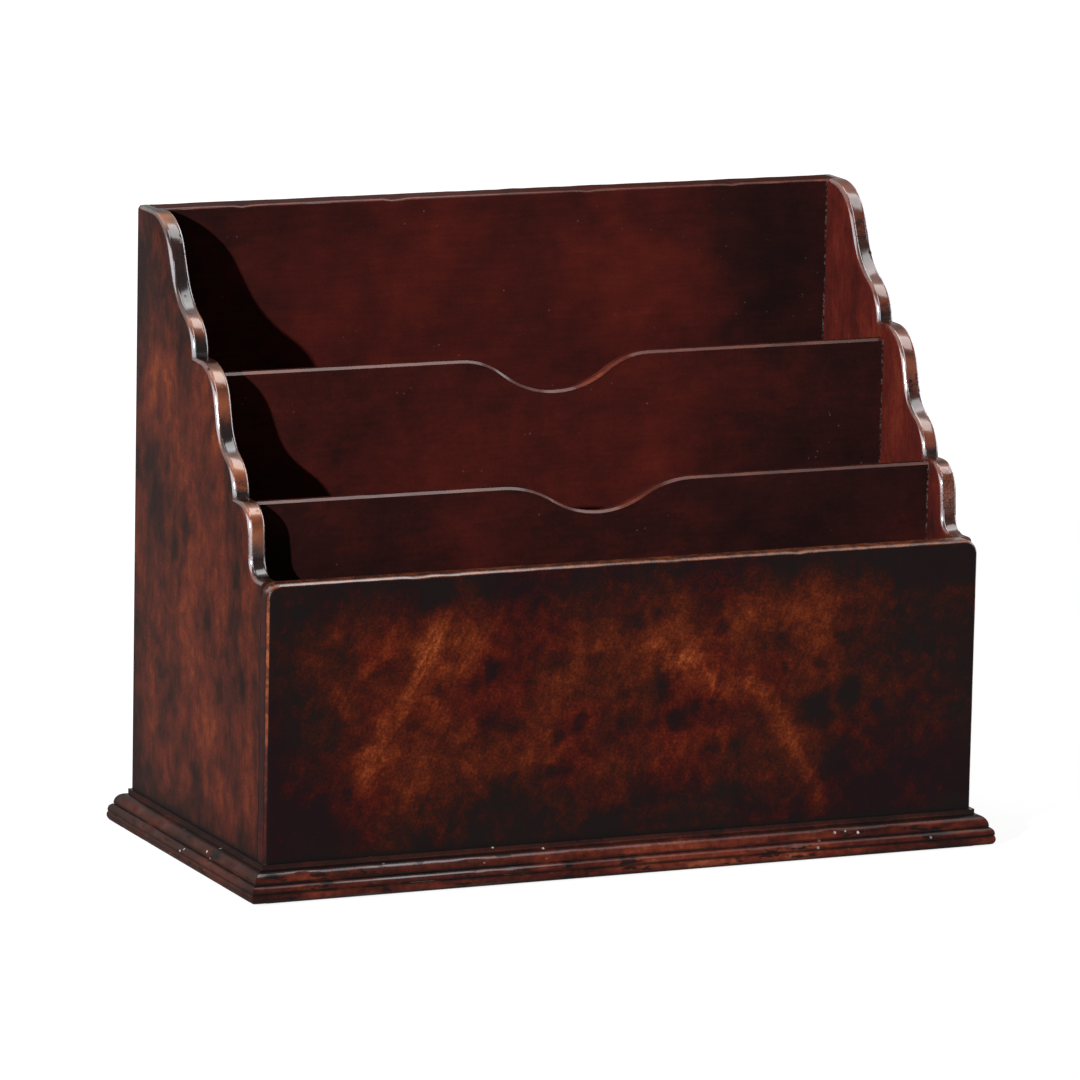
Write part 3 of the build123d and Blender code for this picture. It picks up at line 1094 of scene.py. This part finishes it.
@dataclass(frozen=True)
class Studio:
    """The floor, the lamps, the surroundings and the camera. Angles are in degrees."""

    aim: Point = (0.0, 0.0, 0.11)
    key_away: Point = (-0.784, -0.562, 0.263)
    key_distance: float = 2.0
    key_width: float = 1.3
    key_level: float = 1.70
    lamps: tuple[Lamp, ...] = (
        Lamp("overhead", (0.40, -0.12, 0.88), 1.6, 0.9, 1.1, 0.34),
        Lamp("left_reflector", (-0.88, -0.38, 0.24), 1.4, 2.0, 1.0, 1.25, Duty.REFLECTOR, SKY),
        Lamp("right_reflector", (0.95, 0.05, 0.26), 1.4, 2.0, 1.0, 1.25, Duty.REFLECTOR, SKY),
        Lamp("rear_fill", (-0.25, 1.0, 0.45), 2.2, 1.2, 0.9, 0.35, Duty.FILLER),
    )
    camera_place: Point = (-1.27036, -2.83652, 0.70985)
    camera_yaw: float = 24.010
    camera_pitch: float = 10.779
    camera_roll: float = 1.136
    camera_lens: float = 269.16
    camera_sensor: float = 36.0
    camera_reach: float = 100.0
    fill_level: float = 0.09
    room_level: float = 0.10
    floor_size: float = 40.0
    floor_grey: float = 0.30
    floor_glow: float = 0.86
    floor_in_gloss: float = 0.10

    def build(self) -> None:
        """Set the scene up."""
        self._floor()
        self._key()
        for lamp in self.lamps:
            self._lamp(lamp)
        self._world()
        self._camera()
        bpy.context.scene.view_settings.view_transform = "Standard"

    @staticmethod
    def _rays(bench: PaintBench) -> tuple[Wire, Wire, Wire]:
        """Tell camera rays, glossy rays and rays through glass apart.

        Args:
            bench: The paint bench of what is seen.

        Returns:
            Whether a ray is of each kind.
        """
        return tuple(
            bench.node("ShaderNodeLightPath", output=output)
            for output in ("Is Camera Ray", "Is Glossy Ray", "Is Transmission Ray")
        )

    def _floor(self) -> None:
        """Lay a plain pale floor, white to the camera but for the rack's soft shadow."""
        bpy.ops.object.select_all(action="DESELECT")
        bpy.ops.mesh.primitive_plane_add(size=self.floor_size, location=(0.0, 0.0, 0.0))
        floor = bpy.context.object
        floor.name = "studio_floor"
        bench = PaintBench.named("studio_floor")
        camera, glossy, through = self._rays(bench)
        shown = (camera + self.floor_in_gloss * glossy + through).at_most(1.0)
        grey = (self.floor_grey, self.floor_grey, self.floor_grey, 1.0)
        matt = bench.node("ShaderNodeBsdfDiffuse", values={"Color": grey})
        glow = bench.node("ShaderNodeEmission", values={"Strength": self.floor_glow * shown})
        both = bench.node("ShaderNodeAddShader", values={0: matt, 1: glow})
        bench.node("ShaderNodeOutputMaterial", values={"Surface": both})
        floor.data.materials.append(bench.owner)

    def _key(self) -> None:
        """Set up the distant key lamp, which throws the scalloped shadows into the pockets."""
        data = bpy.data.lights.new("key", "SUN")
        data.energy = self.key_level * math.pi
        data.angle = math.radians(self.key_width)
        self._stand(data, Vector(self.key_away), self.key_distance)

    def _lamp(self, lamp: Lamp) -> None:
        """Set up a softbox.

        Args:
            lamp: The lamp.
        """
        data = bpy.data.lights.new(lamp.name, "AREA")
        data.shape = "RECTANGLE"
        data.size = lamp.width
        data.size_y = lamp.height
        data.energy = lamp.level * math.pi * math.pi * lamp.distance**2
        data.color = lamp.tint
        stand = self._stand(data, Vector(lamp.away).normalized(), lamp.distance)
        stand.visible_diffuse = lamp.duty is not Duty.REFLECTOR
        stand.visible_glossy = lamp.duty is not Duty.FILLER

    def _stand(self, data: bpy.types.Light, away: Vector, distance: float) -> bpy.types.Object:
        """Stand a lamp at a distance from the rack and point it at its middle.

        Args:
            data: The lamp's light.
            away: The direction from the rack to the lamp.
            distance: The distance.

        Returns:
            The lamp's object.
        """
        stand = bpy.data.objects.new(data.name, data)
        stand.location = Vector(self.aim) + away * distance
        stand.rotation_euler = away.to_track_quat("Z", "Y").to_euler()
        stand.visible_camera = False
        bpy.context.scene.collection.objects.link(stand)
        return stand

    def _world(self) -> None:
        """Surround the rack with a dim even light.

        The camera and the polish see a white backdrop, and the polish sees the dim room in front of
        it.
        """
        bench = PaintBench(bpy.data.worlds.new("studio"))
        bpy.context.scene.world = bench.owner
        camera, glossy, through = self._rays(bench)
        _, back, _ = bench.parts(bench.place())
        backdrop = back.rising(-0.25, 0.15)
        in_gloss = self.room_level + (1.0 - self.room_level) * backdrop
        fill = bench.node("ShaderNodeBackground", values={"Strength": self.fill_level})
        white = (camera + in_gloss * glossy + through).at_most(1.0)
        seen = bench.node("ShaderNodeBackground", values={"Strength": white})
        shown = (camera + glossy + through).at_most(1.0)
        mixed = bench.node("ShaderNodeMixShader", values={0: shown, 1: fill, 2: seen})
        bench.node("ShaderNodeOutputWorld", values={"Surface": mixed})

    def _camera(self) -> None:
        """Put the camera at the photograph's view."""
        yaw, pitch = math.radians(self.camera_yaw), math.radians(self.camera_pitch)
        roll = math.radians(self.camera_roll)
        level, fall = math.cos(pitch), -math.sin(pitch)
        forward = Vector((math.sin(yaw) * level, math.cos(yaw) * level, fall))
        level_right = Vector((math.cos(yaw), -math.sin(yaw), 0.0))
        level_up = level_right.cross(forward)
        right = level_right * math.cos(roll) + level_up * math.sin(roll)
        up = level_up * math.cos(roll) - level_right * math.sin(roll)
        data = bpy.data.cameras.new("photograph_view")
        data.lens = self.camera_lens
        data.sensor_width = self.camera_sensor
        data.clip_end = self.camera_reach
        camera = bpy.data.objects.new("photograph_view", data)
        turn = Matrix((right, up, -forward)).transposed()
        camera.matrix_world = Matrix.Translation(self.camera_place) @ turn.to_4x4()
        bpy.context.scene.collection.objects.link(camera)
        bpy.context.scene.camera = camera


# ---- The rack's sub-assemblies -----------------------------------------------------------------


def dress(node: bpy.types.Object, material: bpy.types.Material) -> None:
    """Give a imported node's own object a material.

    Args:
        node: The node's object.
        material: The material.
    """
    node.data.materials.clear()
    node.data.materials.append(material)
    log.info("%s: dressed as packed", node.name)


def spaced(low: float, high: float, spacing: float) -> list[float]:
    """Give evenly spaced places between two ends, both left out."""
    count = max(1, round((high - low) / spacing))
    return [low + (high - low) * i / count for i in range(1, count)]


def inner_mahogany() -> InnerMahogany:
    """Fit the inner boards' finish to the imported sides."""
    _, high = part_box("left_side")
    return InnerMahogany(abs(high.x), high.y)


@dataclass
class Carcass:
    """The two scalloped sides, the back and the front board.

    The worn edges are cut finely: a side's from a height, the others' over a band. A rub is how
    deep an edge is worn at most, and a grain how far apart its hollows are. Each nick is its place
    along the edge, its radius and its depth, in millimetres.
    """

    nodes: dict[str, bpy.types.Object]
    band: float = 4 * MM
    cut_spacing: float = 3.5 * MM
    rub_grain: float = 9 * MM
    scallops_from: float = 0.12
    faces_cut_above: float = 0.11
    rubbed_above: float = 0.1225
    crown_half_width: float = 2.3 * MM
    side_rub: float = 0.45 * MM
    back_rub: float = 0.4 * MM
    back_rub_reach: float = 1.0 * MM
    back_nicks: Nicks = ((-46, 4.2, 1.0), (-110, 3.8, 0.7), (38, 4.2, 0.7), (100, 3.8, 0.6))
    front_corner: float = 6.5 * MM
    front_rub: float = 0.2 * MM
    front_rub_reach: float = 0.8 * MM
    front_rub_grain: float = 16 * MM
    front_nicks: Nicks = ((-88, 4.0, 0.7), (-74, 3.8, 0.5), (18, 4.2, 0.5), (72, 4.0, 0.6))

    def build(self) -> None:
        """Wear and dress every board."""
        inner = inner_mahogany()
        self._sides(inner)
        self._back(inner)
        self._front()

    def _sides(self, inner: InnerMahogany) -> None:
        """Dress the sides, whose scalloped edges are worn uneven.

        Args:
            inner: The inner boards' finish.
        """
        low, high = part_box("left_side")
        material = SideMahogany(inner.inner_face).material(low, high)
        for name in ("left_side", "right_side"):
            piece = WorkedPiece(self.nodes[name])
            low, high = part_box(name)
            cuts = spaced(self.scallops_from, high.z, self.cut_spacing)
            piece.saw((0, 0, 1), cuts, lambda middle: middle.z > self.faces_cut_above)
            middle_x = (low.x + high.x) / 2
            piece.rub(
                self.side_rub,
                self.rub_grain,
                lambda point: abs(point.x - middle_x) < self.crown_half_width
                and point.z > self.rubbed_above,
            )
            piece.finish(material)

    def _back(self, inner: InnerMahogany) -> None:
        """Dress the back, whose top edge is nicked.

        Args:
            inner: The inner boards' finish.
        """
        low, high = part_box("back_panel")
        piece = WorkedPiece(self.nodes["back_panel"])
        line = high.z - self.band
        piece.saw((0, 0, 1), [line])
        across = spaced(low.x, high.x, self.cut_spacing)
        piece.saw((1, 0, 0), across, lambda middle: middle.z > line)
        rubbed_from = high.z - self.back_rub_reach
        piece.rub(self.back_rub, self.rub_grain, lambda point: point.z > rubbed_from)
        piece.nick(self.back_nicks, (low.y + 1.0 * MM, high.z), 0.7)
        piece.finish(inner.material())

    def _front(self) -> None:
        """Dress the front board, whose arrises are rubbed and nicked."""
        low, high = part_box("front_board")
        piece = WorkedPiece(self.nodes["front_board"])
        line, left, right = high.z - self.front_corner, low.x + self.band, high.x - self.band
        piece.saw((0, 0, 1), [line])
        piece.saw((1, 0, 0), [left, right])
        across = spaced(left, right, self.cut_spacing)
        piece.saw((1, 0, 0), across, lambda middle: middle.z > line)
        up = spaced(low.z, line, self.cut_spacing)
        piece.saw((0, 0, 1), up, lambda middle: not left < middle.x < right)
        inside = self.front_rub_reach
        piece.rub(
            self.front_rub,
            self.front_rub_grain,
            lambda point: point.z > high.z - inside
            or not low.x + inside < point.x < high.x - inside,
        )
        piece.nick(self.front_nicks, (low.y + 1.5 * MM, high.z), 0.8)
        piece.finish(FrontBurl().material(low, high))


@dataclass
class Dividers:
    """The two dividers with their finger dips.

    The dip room is how far down their top edges are cut finely, and the rub reach how far inside a
    divider's faces the wear starts.
    """

    nodes: dict[str, bpy.types.Object]
    dip_room: float = 17 * MM
    cut_spacing: float = 3.5 * MM
    rub_depth: float = 0.35 * MM
    rub_grain: float = 8 * MM
    rub_reach: float = 0.3 * MM
    clear_of_cuts: float = 1 * MM

    def build(self) -> None:
        """Wear and dress both."""
        inner = inner_mahogany()
        material = inner.material()
        for name in ("rear_divider", "front_divider"):
            low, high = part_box(name)
            piece = WorkedPiece(self.nodes[name])
            line = high.z - self.dip_room
            piece.saw((0, 0, 1), [line])
            across = spaced(low.x, high.x, self.cut_spacing)
            piece.saw((1, 0, 0), across, lambda middle: middle.z > line)
            piece.rub(
                self.rub_depth,
                self.rub_grain,
                lambda point: point.z > line + self.clear_of_cuts
                and abs(point.x) < inner.inner_face - self.clear_of_cuts
                and low.y + self.rub_reach < point.y < high.y - self.rub_reach,
            )
            piece.finish(material)


@dataclass
class Plinth:
    """The base board with its mitred moulding, the brads and the baize under them.

    The ridges are the heights at which the moulding is knocked, each with how far it lies behind
    the outermost line, and the corner knocks are pairs of a height and a depth, in millimetres.
    """

    nodes: dict[str, bpy.types.Object]
    cut_spacing: float = 3.0 * MM
    rub_depth: float = 0.22 * MM
    rub_grain: float = 11 * MM
    seat: float = 1.2 * MM
    rubbed_from: float = 1.6 * MM
    rubbed_to: float = 13.9 * MM
    clear_of_mitre: float = 1 * MM
    knocks_clear_of_mitre: float = 4 * MM
    knock_count: int = 26
    ridges: tuple[tuple[float, float], ...] = ((2.6, 0.5), (4.0, 1.0), (7.4, 1.2), (10.6, 3.2))
    corner_knocks: tuple[tuple[float, float], ...] = ((3.2, 0.9), (7.0, 0.7))
    corner_radius: float = 4.5 * MM
    seed: int = 7
    felt_cells: tuple[int, int] = (76, 36)
    felt_corner: float = 4 * MM
    felt_soft_edge: float = 0.35 * MM
    felt_grain: float = 7 * MM
    felt_unevenness: float = 0.22 * MM
    felt_smooth_angle: float = math.radians(50)

    def build(self) -> None:
        """Wear and dress every piece."""
        material = MouldingMahogany().material()
        chances = random.Random(self.seed)
        for name, axis in (("front", 0), ("right", 1), ("rear", 0), ("left", 1)):
            self._moulding(f"{name}_base_moulding", axis, material, chances)
        dress(self.nodes["base_board"], PlainTimber().material())
        dress(self.nodes["base_brads"], CutIron().material())
        self._underlay()

    def _moulding(
        self, name: str, axis: int, material: bpy.types.Material, chances: random.Random
    ) -> None:
        """Knock one length of moulding about.

        Args:
            name: Its node.
            axis: The axis that it runs along, 0 for X and 1 for Y.
            material: Its material.
            chances: Where the knocks fall.
        """
        low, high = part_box(name)
        piece = WorkedPiece(self.nodes[name])
        along = (1, 0, 0) if axis == 0 else (0, 1, 0)
        piece.saw(along, spaced(low[axis], high[axis], self.cut_spacing))
        across = 1 - axis
        outwards = 1 if low[across] > 0 else -1
        wall, face = (low, high) if outwards > 0 else (high, low)
        run_end = max(abs(low[axis]), abs(high[axis]))

        def exposed(point: Vector) -> bool:
            """Tell whether a point is on the moulded face, clear of its mitres and its seat.

            Args:
                point: The point.

            Returns:
                Whether it is.
            """
            return (
                abs(point[across] - wall[across]) > self.seat
                and self.rubbed_from < point.z < self.rubbed_to
                and abs(point[axis]) < run_end - self.clear_of_mitre
            )

        piece.rub(self.rub_depth, self.rub_grain, exposed)
        reach = run_end - self.knocks_clear_of_mitre
        knocks = []
        for _ in range(self.knock_count):
            height, depth = chances.choice(self.ridges)
            middle, push = [0.0, 0.0, height * MM], [0.0, 0.0, -0.15]
            middle[axis] = chances.uniform(-reach, reach)
            middle[across] = face[across] - outwards * depth * MM
            push[across] = -outwards
            radius = chances.uniform(1.6, 3.6) * MM
            knocks.append(Knock(tuple(middle), radius, chances.uniform(0.3, 0.9) * MM, tuple(push)))
        piece.knock(knocks + self._corner_knocks())
        piece.finish(material)

    def _corner_knocks(self) -> list[Knock]:
        """Blunt the four mitred corners, in the same way on both lengths that meet at each.

        Returns:
            The knocks.
        """
        low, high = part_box("front_base_moulding")
        return [
            Knock((x * high.x, y * -low.y, z * MM), self.corner_radius, depth * MM, (-x, -y, 0.0))
            for x, y in ((-1, -1), (1, -1), (1, 1), (-1, 1))
            for z, depth in self.corner_knocks
        ]

    def _underlay(self) -> None:
        """Cut the felt underlay, with rounded corners, a soft edge and an uneven lower face."""
        low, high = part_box("baize_underlay")
        columns, rows = self.felt_cells
        bpy.ops.object.select_all(action="DESELECT")
        bpy.ops.mesh.primitive_grid_add(x_subdivisions=columns, y_subdivisions=rows, size=1.0)
        piece = bpy.context.object
        piece.name = "felt_underlay"
        width, depth = high.x - low.x, high.y - low.y
        radius = self.felt_corner
        for vertex in piece.data.vertices:
            x, y = vertex.co.x * width, vertex.co.y * depth
            over = Vector((abs(x) - width / 2 + radius, abs(y) - depth / 2 + radius))
            if min(over) > 0 and over.length > radius:
                over *= radius / over.length
                x = math.copysign(width / 2 - radius + over.x, x)
                y = math.copysign(depth / 2 - radius + over.y, y)
            vertex.co = (x, y, high.z)
        thicken = piece.modifiers.new("felt", "SOLIDIFY")
        thicken.thickness = high.z - low.z
        thicken.offset = -1
        alone(piece)
        bpy.ops.object.modifier_apply(modifier=thicken.name)
        round_off = piece.modifiers.new("soft_edge", "BEVEL")
        round_off.width = self.felt_soft_edge
        round_off.segments = 2
        round_off.limit_method = "ANGLE"
        bpy.ops.object.modifier_apply(modifier=round_off.name)
        fluff = bpy.data.textures.new("felt", "CLOUDS")
        fluff.noise_scale = self.felt_grain
        lower = piece.vertex_groups.new(name="lower")
        lowest = [v.index for v in piece.data.vertices if v.co.z < low.z + 0.1 * MM]
        lower.add(lowest, 1.0, "REPLACE")
        uneven = piece.modifiers.new("uneven", "DISPLACE")
        uneven.texture = fluff
        uneven.vertex_group = lower.name
        uneven.strength = -self.felt_unevenness
        uneven.mid_level = 0.0
        bpy.ops.object.modifier_apply(modifier=uneven.name)
        bpy.ops.object.shade_smooth_by_angle(angle=self.felt_smooth_angle)
        piece.data.materials.append(GreenBaize().material())
        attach(piece, "root")
        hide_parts("baize_underlay")
        log.info("%s: %d faces", piece.name, len(piece.data.polygons))


def main() -> None:
    """Build the rack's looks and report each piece."""
    logging.basicConfig(level=logging.INFO, format="%(name)s: %(message)s")
    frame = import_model()
    Studio().build()
    for sub_assembly in (Carcass, Dividers, Plinth):
        sub_assembly(frame["nodes"]).build()


if __name__ == "__main__":
    main()
